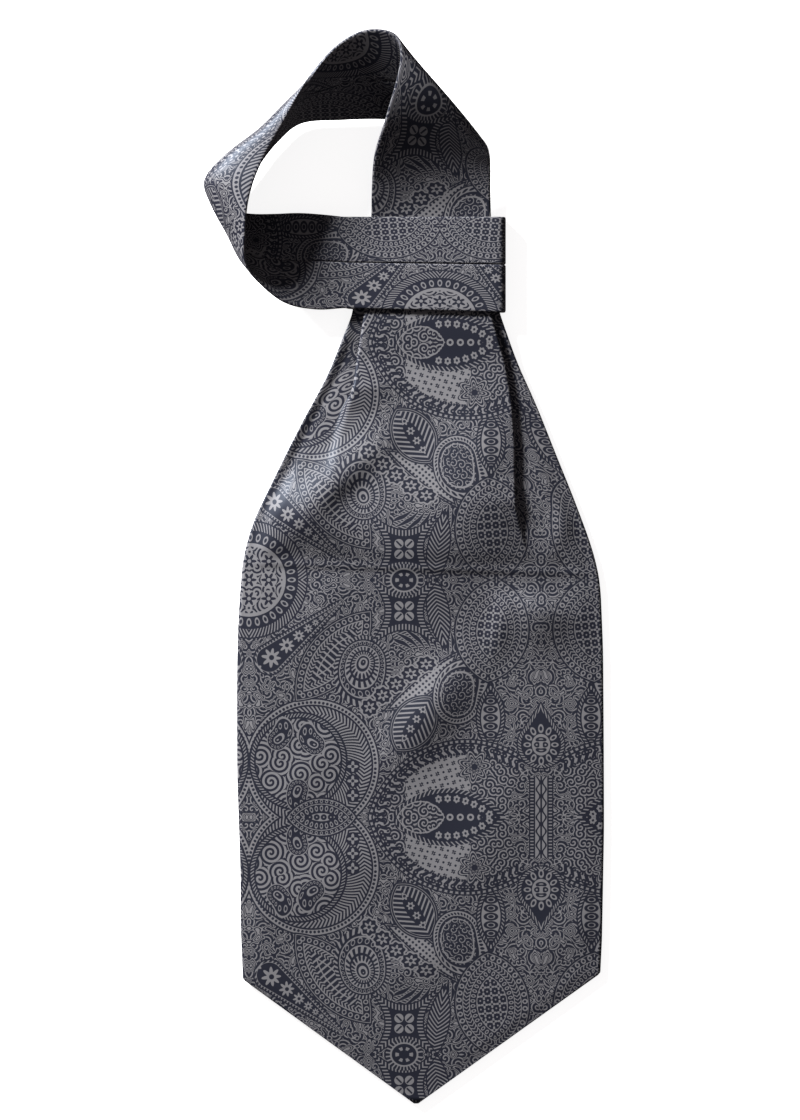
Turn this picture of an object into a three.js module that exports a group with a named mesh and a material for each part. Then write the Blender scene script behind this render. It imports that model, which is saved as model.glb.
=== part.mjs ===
// A silk cravat with a pull-through neck loop, lying face up on a table.
// Millimetres, +Z up, +X to the wearer's left, +Y from the blade's point to the neck loop.
// The blade is a front and a back panel. The front's top is pleated into the neck, the neck
// goes through the keeper, and the neck band rises from it, turns through the loop and ends
// as the keeper: folded back under the neck and stitched to itself.
import * as THREE from "three";

// Cloth
const PANEL = 1.0; // wall of one blade panel, silk with its interlining
const BAND = 1.5; // wall of the neck band, a strip folded to its own centre seam
const GAP = 0.3; // clearance between pieces that touch
const SEAM_DEPTH = 0.5; // groove where the band's two folded edges meet

// Heights of the middle of each wall where the layers lie on each other in the keeper
const KEEPER_BACK_Z = BAND / 2;
const NECK_BACK_Z = BAND + GAP + PANEL / 2;
const NECK_FRONT_Z = NECK_BACK_Z + PANEL + GAP;
const PLEAT_STEP = PANEL + GAP; // one folded layer to the next
const KEEPER_FRONT_Z = NECK_FRONT_Z + 2 * PLEAT_STEP + PANEL / 2 + GAP + BAND / 2;

// Blade
const BACK_Z = PANEL / 2;
const FRONT_Z = PANEL + GAP + PANEL / 2;
const NECK_END = 358; // where the blade is sewn to the band, inside the keeper
const RAMP = { from: 312, to: 337 }; // the blade climbs onto the keeper's back here
const STACK_RAMP = { from: 215, to: 290 }; // the front's middle climbs to the pleats' height
const NEAR_FOLD = 24; // how far from a pleat's fold its own height still shows
const BACK_INSET = 0.8; // the back panel stands in from the front's edge
const CREASE = { y: 227.4, half: 9, depth: 0.5 }; // pressed line across the blade

// The blade's outline: x of its two side edges at heights y above the point
const LEFT_SIDE = [
  { y: 0, x: -3.0 },
  { y: 53.1, x: -76.2 },
  { y: 76, x: -77.2 },
  { y: 101, x: -77.3 },
  { y: 141, x: -78.7 },
  { y: 182, x: -78.8 },
  { y: 205, x: -78.3 },
  { y: 227.4, x: -76.8 },
  { y: 236, x: -75.6 },
  { y: 249, x: -71.8 },
  { y: 269, x: -62.1 },
  { y: 288, x: -52.7 },
  { y: 312, x: -39.6 },
  { y: 337, x: -29.6 },
  { y: 345, x: -28.4 },
  { y: 358, x: -26 },
];
const RIGHT_SIDE = [
  { y: 0, x: -1.2 },
  { y: 55.7, x: 76.7 },
  { y: 70, x: 77.4 },
  { y: 117, x: 78.3 },
  { y: 150, x: 78.2 },
  { y: 194, x: 77.9 },
  { y: 221, x: 76.8 },
  { y: 229, x: 75.5 },
  { y: 240, x: 72.4 },
  { y: 259.5, x: 65.1 },
  { y: 277.5, x: 57.8 },
  { y: 298, x: 49.7 },
  { y: 317, x: 41.1 },
  { y: 337, x: 34.0 },
  { y: 345, x: 32.2 },
  { y: 358, x: 30 },
];

// The two pleats. edge is the x of the fold that shows, turn how far the cloth folds under
// there in degrees, tuck the hidden straight length, and bend the length of each of its folds.
const LEFT_PLEAT = [
  { y: 0, edge: -2.4, turn: 0, tuck: 0.05, bend: 0.08 },
  { y: 54, edge: -40, turn: 0, tuck: 1, bend: 2.6 },
  { y: 258, edge: -38.5, turn: 0, tuck: 1, bend: 2.6 },
  { y: 274, edge: -36.5, turn: 8, tuck: 0.8, bend: 2.8 },
  { y: 286, edge: -34, turn: 24, tuck: 0.6, bend: 2.8 },
  { y: 296, edge: -31.6, turn: 56, tuck: 0.4, bend: 2.6 },
  { y: 303, edge: -29.6, turn: 112, tuck: 0.8, bend: 2.4 },
  { y: 309, edge: -28.3, turn: 168, tuck: 2.8, bend: 2.3 },
  { y: 317, edge: -27.3, turn: 180, tuck: 8, bend: 2.2 },
  { y: 337, edge: -24, turn: 180, tuck: 17.5, bend: 2.04 },
  { y: 358, edge: -21, turn: 180, tuck: 15, bend: 2.04 },
];
const RIGHT_PLEAT = [
  { y: 0, edge: -1.8, turn: 0, tuck: 0.05, bend: 0.08 },
  { y: 54, edge: 45, turn: 0, tuck: 0.3, bend: 1.4 },
  { y: 232, edge: 45, turn: 0, tuck: 0.3, bend: 1.4 },
  { y: 238, edge: 44, turn: 12, tuck: 0.3, bend: 1.4 },
  { y: 246, edge: 42.2, turn: 45, tuck: 0.3, bend: 1.5 },
  { y: 254, edge: 40.6, turn: 105, tuck: 0.4, bend: 1.8 },
  { y: 261, edge: 40, turn: 165, tuck: 1.5, bend: 2.1 },
  { y: 268, edge: 39.8, turn: 180, tuck: 3.4, bend: 2.1 },
  { y: 281, edge: 39.8, turn: 180, tuck: 7, bend: 2.1 },
  { y: 299, edge: 38.6, turn: 180, tuck: 12, bend: 2.1 },
  { y: 317, edge: 35.6, turn: 180, tuck: 17, bend: 2.04 },
  { y: 337, edge: 29.8, turn: 180, tuck: 20, bend: 2.04 },
  { y: 358, edge: 26, turn: 180, tuck: 16, bend: 2.04 },
];

// Soft folds of the front panel: a rounded crest through x, y, running at an angle to +X.
// above and below are how far it falls away to the left of that way and to the right of it.
const RIDGES = [
  { x: -34.5, y: 268, angle: 42, length: 34, above: 11, below: 7.5, rise: 3.9 },
  { x: -46, y: 249, angle: -26, length: 26, above: 12, below: 10, rise: 6.2 },
  { x: 10, y: 244, angle: -2, length: 58, above: 32, below: 24, rise: 5.2 },
  { x: 25, y: 272, angle: 74, length: 34, above: 17, below: 12, rise: 1.8 },
  { x: 50, y: 210, angle: -12, length: 22, above: 6.5, below: 14, rise: 3.6 },
  { x: 3, y: 167, angle: 52, length: 38, above: 10, below: 12, rise: 3 },
  { x: 30, y: 118, angle: 62, length: 60, above: 14, below: 14, rise: 1 },
  { x: -40, y: 95, angle: 30, length: 46, above: 13, below: 13, rise: 0.9 },
];

// The neck band as cross rows, from the neck round the loop to the keeper's stitching.
// right, middle and left are the strip's two edges and its centre line, seen as it rises
// from the neck with its outer face up.
const LOOP_ROWS = [
  { right: [31.5, 358.4, 4.2], middle: [4, 358.4, 4.2], left: [-23.5, 358.4, 4.2] },
  { right: [30, 377, 4.2], middle: [4.3, 377, 4.2], left: [-21.4, 377, 4.2] },
  { right: [29.6, 391, 5], middle: [4.3, 391, 7.4], left: [-21, 391, 9] },
  { right: [29.6, 400, 6.2], middle: [4.6, 405, 12], left: [-19.8, 405, 16.4] },
  { right: [29.2, 405.4, 8.6], middle: [6.4, 419, 18.8], left: [-14.6, 421.5, 24] },
  { right: [27.2, 409.6, 8.8], middle: [10.9, 428, 21.5], left: [-8.8, 446.5, 29.5] },
  { right: [21.6, 413.6, 5.2], middle: [4, 434, 15.6], left: [-11.6, 455, 29.3] },
  { right: [8, 417.5, 2.4], middle: [-8, 436, 14], left: [-22.5, 457, 28] },
  { right: [-12, 421, 1.9], middle: [-22.5, 437, 15], left: [-33, 452.5, 27] },
  { right: [-34, 421, 1.8], middle: [-37.6, 434, 17], left: [-41.6, 444.5, 27] },
  { right: [-52, 419.3, 1.7], middle: [-54, 427.5, 19.5], left: [-50.2, 432, 27.6] },
  { right: [-62, 411, 1.7], middle: [-69, 414.5, 20.5], left: [-57.6, 419, 28.4] },
  { right: [-71, 399, 1.7], middle: [-84, 403, 20.5], left: [-65.6, 405, 29] },
  { right: [-78, 389, 1.8], middle: [-91.4, 393.5, 19.5], left: [-71.2, 392, 29.4] },
  { right: [-79, 383, 2], middle: [-89, 384.5, 17.5], left: [-73.6, 382.5, 28.8] },
  { right: [-76, 381, 2.6], middle: [-83, 373, 14], left: [-74.4, 372, 26.6] },
  { right: [-71, 380.4, 3.5], middle: [-76.4, 364, 10.2], left: [-74.2, 358.8, 21] },
  { right: [-62.5, 380.4, 4.6], middle: [-65, 361, 9], left: [-67.8, 349.6, 15.6] },
  { right: [-52, 380.7, 5.8], middle: [-53, 360.2, 8.2], left: [-57.8, 342, 11.4] },
  { right: [-42, 380, 6.9], middle: [-42.5, 360, 7.8], left: [-44.6, 339.4, 8.9] },
  { right: [-33.2, 379, KEEPER_FRONT_Z], middle: [-33.2, 359.7, KEEPER_FRONT_Z], left: [-33.2, 340, KEEPER_FRONT_Z] },
];
// Where the band is divided into the stretches that show, in rows
const STRETCHES = [
  { name: "band_rise", from: 0, to: 7.5 },
  { name: "band_top", from: 7.5, to: 11.5 },
  { name: "band_side", from: 11.5, to: 16.5 },
  { name: "band_cross", from: 16.5, to: 20 },
];
const ROW_STEPS = 4; // steps between two rows of the loop
const CUT = 0.03; // half the gap between two stretches, in rows

// Keeper
const KEEPER = { left: -32.9, right: 36.2, leftRise: -30.9, topY: 379, bottomLeftY: 340, bottomRightY: 338.3 };
const BEND_STEPS = 6; // steps round the keeper's end fold

const SILK = new THREE.Color(0.2, 0.21, 0.24);
const silk = (shade) =>
  new THREE.MeshStandardMaterial({ color: SILK.clone().multiplyScalar(shade), roughness: 0.5, metalness: 0 });

const rad = THREE.MathUtils.degToRad;
const mix = THREE.MathUtils.lerp;
const ease = THREE.MathUtils.smoothstep;

// The value of one column of a table at y, on straight lines between its rows
function at(table, y, column) {
  let k = 1;
  while (k < table.length - 1 && table[k].y < y) k += 1;
  const [low, high] = [table[k - 1], table[k]];
  const share = THREE.MathUtils.clamp((y - low.y) / (high.y - low.y), 0, 1);
  return mix(low[column], high[column], share);
}

// A closed wall between two grids of points with the same rows and columns
function wall(upper, lower) {
  const rows = upper.length;
  const columns = upper[0].length;
  const positions = [...upper, ...lower].flat().flatMap((p) => [p.x, p.y, p.z]);
  const index = [];
  const id = (side, i, j) => (side * rows + i) * columns + j;
  const quad = (a, b, c, d) => index.push(a, b, c, a, c, d);
  for (let i = 0; i < rows - 1; i += 1) {
    for (let j = 0; j < columns - 1; j += 1) {
      quad(id(0, i, j), id(0, i, j + 1), id(0, i + 1, j + 1), id(0, i + 1, j));
      quad(id(1, i, j), id(1, i + 1, j), id(1, i + 1, j + 1), id(1, i, j + 1));
    }
    const last = columns - 1;
    quad(id(0, i, 0), id(0, i + 1, 0), id(1, i + 1, 0), id(1, i, 0));
    quad(id(0, i, last), id(1, i, last), id(1, i + 1, last), id(0, i + 1, last));
  }
  for (let j = 0; j < columns - 1; j += 1) {
    const last = rows - 1;
    quad(id(0, 0, j), id(1, 0, j), id(1, 0, j + 1), id(0, 0, j + 1));
    quad(id(0, last, j), id(0, last, j + 1), id(1, last, j + 1), id(1, last, j));
  }
  const geometry = new THREE.BufferGeometry();
  geometry.setAttribute("position", new THREE.Float32BufferAttribute(positions, 3));
  geometry.setIndex(volume(positions, index) < 0 ? index.reverse() : index);
  geometry.computeVertexNormals();
  return geometry;
}

// Six times the signed volume inside a closed surface
function volume(positions, index) {
  const point = (k) => new THREE.Vector3().fromArray(positions, 3 * k);
  let sum = 0;
  for (let k = 0; k < index.length; k += 3) {
    const [a, b, c] = [point(index[k]), point(index[k + 1]), point(index[k + 2])];
    sum += a.dot(b.cross(c));
  }
  return sum;
}

// The wall of a surface given as a grid: half a thickness to each side along its normals.
// halves(j) gives the two half thicknesses at a column.
function thicken(grid, halves) {
  const [upper, lower] = [[], []];
  grid.forEach((row, i) => {
    const next = grid[Math.min(i + 1, grid.length - 1)];
    const before = grid[Math.max(i - 1, 0)];
    const sides = row.map((p, j) => {
      const along = next[j].clone().sub(before[j]);
      const across = row[Math.min(j + 1, row.length - 1)].clone().sub(row[Math.max(j - 1, 0)]);
      return across.cross(along).normalize();
    });
    upper.push(row.map((p, j) => p.clone().addScaledVector(sides[j], halves(j)[0])));
    lower.push(row.map((p, j) => p.clone().addScaledVector(sides[j], -halves(j)[1])));
  });
  return wall(upper, lower);
}

// A point on an arc of a given length and turn that starts at a point and heading
function alongArc(start, heading, length, turn, share) {
  const chord = Math.abs(turn) < 1e-4 ? length * share
    : ((2 * length) / turn) * Math.sin((turn * share) / 2);
  const way = heading + (turn * share) / 2;
  return { x: start.x + chord * Math.cos(way), z: start.z + chord * Math.sin(way) };
}

// Half a section of the front panel: from its side edge in to the pleat, under and back
// out to the fold that shows. inward is 1 for the left half and -1 for the right half.
const SIDE_STEPS = 3;
const FOLD_STEPS = 4;
const TUCK_STEPS = 2;
function pleatedHalf(side, pleat, inward) {
  const turn = rad(pleat.turn);
  const path = [{ x: 0, z: 0 }];
  for (let k = 1; k <= FOLD_STEPS; k += 1) path.push(alongArc(path[0], 0, pleat.bend, turn, k / FOLD_STEPS));
  const tuckStart = path.at(-1);
  for (let k = 1; k <= TUCK_STEPS; k += 1) {
    path.push(alongArc(tuckStart, turn, pleat.tuck, 0, k / TUCK_STEPS));
  }
  const foldStart = path.at(-1);
  for (let k = 1; k <= FOLD_STEPS; k += 1) {
    path.push(alongArc(foldStart, turn, pleat.bend, -turn, k / FOLD_STEPS));
  }
  const showing = alongArc(foldStart, turn, pleat.bend, -turn, 0.5).x;
  const shift = pleat.edge * inward - showing;
  const folded = path.map((p) => ({ x: inward * (p.x + shift), z: p.z }));
  const panel = [];
  for (let k = 0; k < SIDE_STEPS; k += 1) panel.push({ x: mix(side, folded[0].x, k / SIDE_STEPS), z: 0 });
  return [...panel, ...folded];
}

const pleatAt = (table, y) => ({
  edge: at(table, y, "edge"),
  turn: at(table, y, "turn"),
  tuck: at(table, y, "tuck"),
  bend: at(table, y, "bend"),
});

// Height of the soft folds and of the pressed line at a point of the front panel
function relief(x, y) {
  const side = ease(Math.min(x - at(LEFT_SIDE, y, "x"), at(RIGHT_SIDE, y, "x") - x), 0, 10);
  const fromEnds = ease(y, 4, 30) * (1 - ease(y, 306, 334));
  let rise = 0;
  for (const ridge of RIDGES) {
    const [dx, dy] = [x - ridge.x, y - ridge.y];
    const along = dx * Math.cos(rad(ridge.angle)) + dy * Math.sin(rad(ridge.angle));
    const across = dy * Math.cos(rad(ridge.angle)) - dx * Math.sin(rad(ridge.angle));
    const width = across > 0 ? ridge.above : ridge.below;
    rise += ridge.rise * Math.exp(-((along / ridge.length) ** 2) * 2 - (across / width) ** 2);
  }
  const crease = CREASE.depth * Math.min(1, Math.abs(y - CREASE.y) / CREASE.half);
  return side * fromEnds * (rise + crease);
}

const CENTRE_STEPS = 14;
function frontRow(y) {
  const base = mix(FRONT_Z, NECK_FRONT_Z, ease(y, RAMP.from, RAMP.to));
  const left = pleatedHalf(at(LEFT_SIDE, y, "x"), pleatAt(LEFT_PLEAT, y), 1);
  const right = pleatedHalf(at(RIGHT_SIDE, y, "x"), pleatAt(RIGHT_PLEAT, y), -1).reverse();
  const level = 2 * PLEAT_STEP * ease(y, STACK_RAMP.from, STACK_RAMP.to);
  const centre = [];
  for (let k = 1; k < CENTRE_STEPS; k += 1) {
    const x = mix(left.at(-1).x, right[0].x, k / CENTRE_STEPS);
    const nearLeft = 1 - ease(x - left.at(-1).x, 0, NEAR_FOLD);
    const nearRight = 1 - ease(right[0].x - x, 0, NEAR_FOLD);
    centre.push({ x, z: level + (left.at(-1).z - level) * nearLeft + (right[0].z - level) * nearRight });
  }
  return [...left, ...centre, ...right].map((p) => new THREE.Vector3(p.x, y, base + p.z + relief(p.x, y)));
}

// Rows of the blade, closer together where its outline or its folds turn
function steps(stops) {
  const list = [];
  stops.forEach(({ y, step }, k) => {
    const end = stops[k + 1] ? stops[k + 1].y : y;
    const count = Math.max(1, Math.round((end - y) / step));
    for (let n = 0; n < count; n += 1) list.push(mix(y, end, n / count));
  });
  return list;
}
const FRONT_ROWS = steps([
  { y: 0, step: 14 },
  { y: 54, step: 12 },
  { y: 186, step: 6 },
  { y: 228, step: 4 },
  { y: 264, step: 6 },
  { y: 300, step: 4 },
  { y: 340, step: 9 },
  { y: NECK_END, step: 8 },
]);
const BACK_ROWS = steps([
  { y: 1.2, step: 27 },
  { y: 54.4, step: 40 },
  { y: 205, step: 10 },
  { y: 250, step: 20 },
  { y: 310, step: 6 },
  { y: 340, step: 9 },
  { y: NECK_END, step: 8 },
]);

const evenHalves = () => [PANEL / 2, PANEL / 2];

function bladeFront() {
  return thicken(FRONT_ROWS.map(frontRow), evenHalves);
}

const BACK_COLUMNS = 4;
function bladeBack() {
  const rows = BACK_ROWS.map((y) => {
    const z = mix(BACK_Z, NECK_BACK_Z, ease(y, RAMP.from, RAMP.to));
    const [from, to] = [at(LEFT_SIDE, y, "x") + BACK_INSET, at(RIGHT_SIDE, y, "x") - BACK_INSET];
    return Array.from({ length: BACK_COLUMNS + 1 }, (_, k) => new THREE.Vector3(mix(from, to, k / BACK_COLUMNS), y, z));
  });
  return thicken(rows, evenHalves);
}

// Shares of the band's width where its section has points, and how full the wall is there
const BAND_SECTION = [
  { share: 0, full: 0.45 },
  { share: 0.025, full: 0.9 },
  { share: 0.12, full: 1 },
  { share: 0.3, full: 1 },
  { share: 0.48, full: 1 },
  { share: 0.5, full: 1, seam: true },
  { share: 0.52, full: 1 },
  { share: 0.7, full: 1 },
  { share: 0.88, full: 1 },
  { share: 0.975, full: 0.9 },
  { share: 1, full: 0.45 },
];
// Half thicknesses towards the outer face and towards the inner face, which has the seam
const bandHalves = (j) => {
  const { full, seam } = BAND_SECTION[j];
  return [(full * BAND) / 2, (full * BAND) / 2 - (seam ? SEAM_DEPTH : 0)];
};

const lines = ["right", "middle", "left"].map(
  (name) => new THREE.CatmullRomCurve3(LOOP_ROWS.map((row) => new THREE.Vector3(...row[name])), false, "centripetal"),
);

// The loop's surface: a parabola across the strip through the points of its three lines
function bandPoint(row, share) {
  const [a, b, c] = lines.map((line) => line.getPoint(row / (LOOP_ROWS.length - 1)));
  return a.multiplyScalar((1 - share) * (1 - 2 * share))
    .addScaledVector(b, 4 * share * (1 - share))
    .addScaledVector(c, share * (2 * share - 1));
}

function bandStretch({ from, to }) {
  const first = from === 0 ? 0 : from + CUT;
  const last = to === LOOP_ROWS.length - 1 ? to : to - CUT;
  const count = Math.ceil((to - from) * ROW_STEPS);
  const grid = Array.from({ length: count + 1 }, (_, k) =>
    BAND_SECTION.map(({ share }) => bandPoint(mix(first, last, k / count), 1 - share)));
  return thicken(grid, bandHalves);
}

// The keeper is the band's end. Its section along x: over the neck, round the end fold,
// back under the neck and up again to the stitching.
function keeperRow(x, z) {
  const bottom = mix(KEEPER.bottomLeftY, KEEPER.bottomRightY, (x - KEEPER.left) / (KEEPER.right - KEEPER.left));
  return BAND_SECTION.map(({ share }) => new THREE.Vector3(x, mix(bottom, KEEPER.topY, share), z));
}
const endRadius = (KEEPER_FRONT_Z - KEEPER_BACK_Z) / 2;
const endCentre = { x: KEEPER.right - endRadius - BAND / 2, z: (KEEPER_FRONT_Z + KEEPER_BACK_Z) / 2 };
const endFold = (from, to) =>
  Array.from({ length: BEND_STEPS + 1 }, (_, k) => {
    const angle = rad(mix(from, to, k / BEND_STEPS));
    return [endCentre.x + endRadius * Math.cos(angle), endCentre.z + endRadius * Math.sin(angle)];
  });

function keeperFront() {
  const flat = Array.from({ length: 8 }, (_, k) => [mix(KEEPER.left, endCentre.x, k / 8), KEEPER_FRONT_Z]);
  const cut = THREE.MathUtils.radToDeg(GAP / 2 / endRadius);
  const grid = [...flat, ...endFold(90, cut)].map(([x, z]) => keeperRow(x, z));
  return thicken(grid, bandHalves);
}

function keeperBack() {
  const cut = THREE.MathUtils.radToDeg(GAP / 2 / endRadius);
  const corner = 1.4;
  const path = [
    ...endFold(-cut, -90),
    [0, KEEPER_BACK_Z],
    [KEEPER.leftRise + 2 * corner, KEEPER_BACK_Z],
    [KEEPER.leftRise + 0.4 * corner, KEEPER_BACK_Z + 0.35 * corner],
    [KEEPER.leftRise - 0.2 * corner, KEEPER_BACK_Z + 1.1 * corner],
    [KEEPER.leftRise - 0.4 * corner, KEEPER_BACK_Z + 2 * corner],
    [KEEPER.leftRise - 0.5 * corner, KEEPER_FRONT_Z - BAND / 2 - GAP],
  ];
  return thicken(path.map(([x, z]) => keeperRow(x, z)), bandHalves);
}

function piece(name, geometry, shade) {
  const mesh = new THREE.Mesh(geometry, silk(shade));
  mesh.name = name;
  return mesh;
}

const cravat = new THREE.Group();
cravat.add(
  piece("blade_front", bladeFront(), 1),
  piece("blade_back", bladeBack(), 0.9),
  ...STRETCHES.map((stretch) => piece(stretch.name, bandStretch(stretch), 1)),
  piece("keeper_front", keeperFront(), 1),
  piece("keeper_back", keeperBack(), 0.9),
);

// The part's origin is the middle of its footprint, on the table
const box = new THREE.Box3().setFromObject(cravat, true);
const middle = box.getCenter(new THREE.Vector3());
cravat.position.set(-middle.x, -middle.y, -box.min.z);

export default cravat;
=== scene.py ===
# The looks of a silk cravat that lies face up on a pale table, in metres and in the model's
# own frame. Shapes are worked out in millimetres from the blade's point, then moved there.
import math

import bpy
import numpy as np
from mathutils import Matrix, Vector


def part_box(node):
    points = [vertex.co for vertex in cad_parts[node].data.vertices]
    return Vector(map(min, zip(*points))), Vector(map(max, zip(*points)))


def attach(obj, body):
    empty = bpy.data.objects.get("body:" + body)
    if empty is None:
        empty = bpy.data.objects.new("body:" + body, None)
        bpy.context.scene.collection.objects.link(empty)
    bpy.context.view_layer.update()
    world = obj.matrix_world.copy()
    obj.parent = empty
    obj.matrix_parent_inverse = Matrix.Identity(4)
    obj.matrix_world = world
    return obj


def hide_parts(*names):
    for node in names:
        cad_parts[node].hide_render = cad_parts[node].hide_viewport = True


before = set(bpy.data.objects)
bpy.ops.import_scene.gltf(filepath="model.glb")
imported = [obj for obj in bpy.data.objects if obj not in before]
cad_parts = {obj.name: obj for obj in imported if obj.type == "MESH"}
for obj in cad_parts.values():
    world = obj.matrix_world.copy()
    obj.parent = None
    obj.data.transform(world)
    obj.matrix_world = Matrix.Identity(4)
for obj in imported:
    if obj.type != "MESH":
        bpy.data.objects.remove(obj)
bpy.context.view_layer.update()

MM = 0.001

# The photograph's size and where the blade's point is in it, in pixels
FRAME_PX = (800, 1120)
POINT_PX = (421, 1103)
MM_PER_PX = 0.4282

# Cloth
PANEL = 1.0  # wall of one blade panel
BAND = 1.5  # wall of the neck band
GAP = 0.3  # clearance between pieces that touch
PLEAT_STEP = PANEL + GAP  # one folded layer to the next

# Heights of the middle of each wall where the layers lie on each other in the keeper
KEEPER_BACK_Z = BAND / 2
NECK_BACK_Z = BAND + GAP + PANEL / 2
NECK_FRONT_Z = NECK_BACK_Z + PANEL + GAP
KEEPER_FRONT_Z = NECK_FRONT_Z + 2 * PLEAT_STEP + PANEL / 2 + GAP + BAND / 2

# The print's repeat: a mirror line each way on the blade, and half of the repeat each way
MIRROR_X = 51.4
MIRROR_Y = 122.5
HALF_WIDE = 125
HALF_HIGH = 101.5

# Blade
BACK_Z = PANEL / 2
FRONT_Z = PANEL + GAP + PANEL / 2
NECK_END = 358  # where the blade is sewn to the band, inside the keeper
RAMP = (312, 337)  # the blade climbs onto the keeper's back here
STACK_RAMP = (215, 290)  # the front's middle climbs to the pleats' height
NEAR_FOLD = 24  # how far from a pleat's fold its own height still shows
BACK_INSET = 0.8  # the back panel stands in from the front's edge
LEFT_REACH = 78.8  # from the point to the widest place of the left side

# The line pressed across the blade, and the small welt above it
CREASE = {"y": 227.4, "slope": 0.03, "half": 9, "depth": 0.5}
WELT = {"above": 1.6, "half": 1.5, "rise": 0.35}

# Where the outline's small corners are rounded off, and how far each way
CORNER = {"reach": 6, "samples": 9, "from": (62, 80), "to": (325, 345)}

# Where the soft folds fade out: at the sides, at the point and under the keeper
SIDE_FADE = (0, 10)
POINT_FADE = (4, 30)
KEEPER_FADE = (306, 334)

# The left edge of the front, lifted off the back panel
EDGE_LIFT = {"rise": 1.2, "width": 5, "from": (250, 280), "to": (320, 338)}

# Where the back panel lies in the print, which runs the other way on it
BACK_PRINT = (31, 57)


def table(columns, *rows):
    """A short table: its columns' names, then its rows of numbers."""
    return {name: np.array([row[k] for row in rows], float) for k, name in enumerate(columns.split())}


def at(rows, y, name):
    """The value of a column at y, on straight lines between the table's rows."""
    return np.interp(y, rows["y"], rows[name])


def ease(x, low, high):
    """A smooth step from 0 at low to 1 at high."""
    t = np.clip((x - low) / (high - low), 0, 1)
    return t * t * (3 - 2 * t)


def mix(a, b, share):
    return a + (b - a) * share


LEFT_SIDE = table(
    "y x",
    (0, -3.0), (53.1, -76.2), (76, -77.2), (101, -77.3), (141, -78.7), (182, -78.8),
    (205, -78.3), (227.4, -76.8), (236, -75.6), (249, -71.8), (269, -62.1), (288, -52.7),
    (312, -39.6), (337, -29.6), (345, -28.4), (358, -26),
)
RIGHT_SIDE = table(
    "y x",
    (0, -1.2), (55.7, 76.7), (70, 77.4), (117, 78.3), (150, 78.2), (194, 77.9),
    (221, 76.8), (229, 75.5), (240, 72.4), (259.5, 65.1), (277.5, 57.8), (298, 49.7),
    (317, 41.1), (337, 34.0), (345, 32.2), (358, 30),
)

# The two pleats. edge is the x of the fold that shows, turn how far the cloth folds under
# there in degrees, tuck the hidden straight length, and bend the length of each of its folds.
LEFT_PLEAT = table(
    "y edge turn tuck bend",
    (0, -2.4, 0, 0.05, 0.08), (54, -40, 0, 1, 2.6), (258, -38.5, 0, 1, 2.6),
    (274, -36.5, 8, 0.8, 2.8), (286, -34, 24, 0.6, 2.8), (296, -31.6, 56, 0.4, 2.6),
    (303, -29.6, 112, 0.8, 2.4), (309, -28.3, 168, 2.8, 2.3), (317, -27.3, 180, 8, 2.2),
    (337, -24, 180, 17.5, 2.04), (358, -21, 180, 15, 2.04),
)
RIGHT_PLEAT = table(
    "y edge turn tuck bend",
    (0, -1.8, 0, 0.05, 0.08), (54, 45, 0, 0.3, 1.4), (232, 45, 0, 0.3, 1.4),
    (238, 44, 12, 0.3, 1.4), (246, 42.2, 45, 0.3, 1.5), (254, 40.6, 105, 0.4, 1.8),
    (261, 40, 165, 1.5, 2.1), (268, 39.8, 180, 3.4, 2.1), (281, 39.8, 180, 7, 2.1),
    (299, 38.6, 180, 12, 2.1), (317, 35.6, 180, 17, 2.04), (337, 29.8, 180, 20, 2.04),
    (358, 26, 180, 16, 2.04),
)

# Soft folds of the front panel: a crest, or a trough where rise is negative, through x, y
# and running at an angle to +X, in degrees. above and below are how far it falls away to
# the left of that way and to the right of it.
RIDGES = table(
    "x y angle length above below rise",
    (-34.5, 268, 42, 34, 11, 7.5, 3.9),
    (-46, 249, -26, 26, 14, 11, 4.6),
    (10, 244, -2, 58, 32, 24, 5.2),
    (25, 272, 74, 34, 17, 12, 1.8),
    (50, 210, -12, 22, 6.5, 14, 3.6),
    (3, 167, 52, 38, 10, 12, 3),
    (30, 118, 62, 60, 14, 14, 1),
    (-40, 95, 30, 46, 13, 13, 0.9),
    (-62, 240, 24, 14, 7, 6, 1),
    (60, 246, 70, 22, 5, 5, 0.8),
    (33, 203, 78, 16, 4, 5, 1),
    (-46, 205, 60, 40, 8, 8, 0.5),
    (60, 70, 40, 36, 9, 9, 0.5),
    (0, 60, 25, 40, 9, 9, 0.5),
    (-50, 140, 50, 36, 8, 8, 0.5),
)

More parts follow.
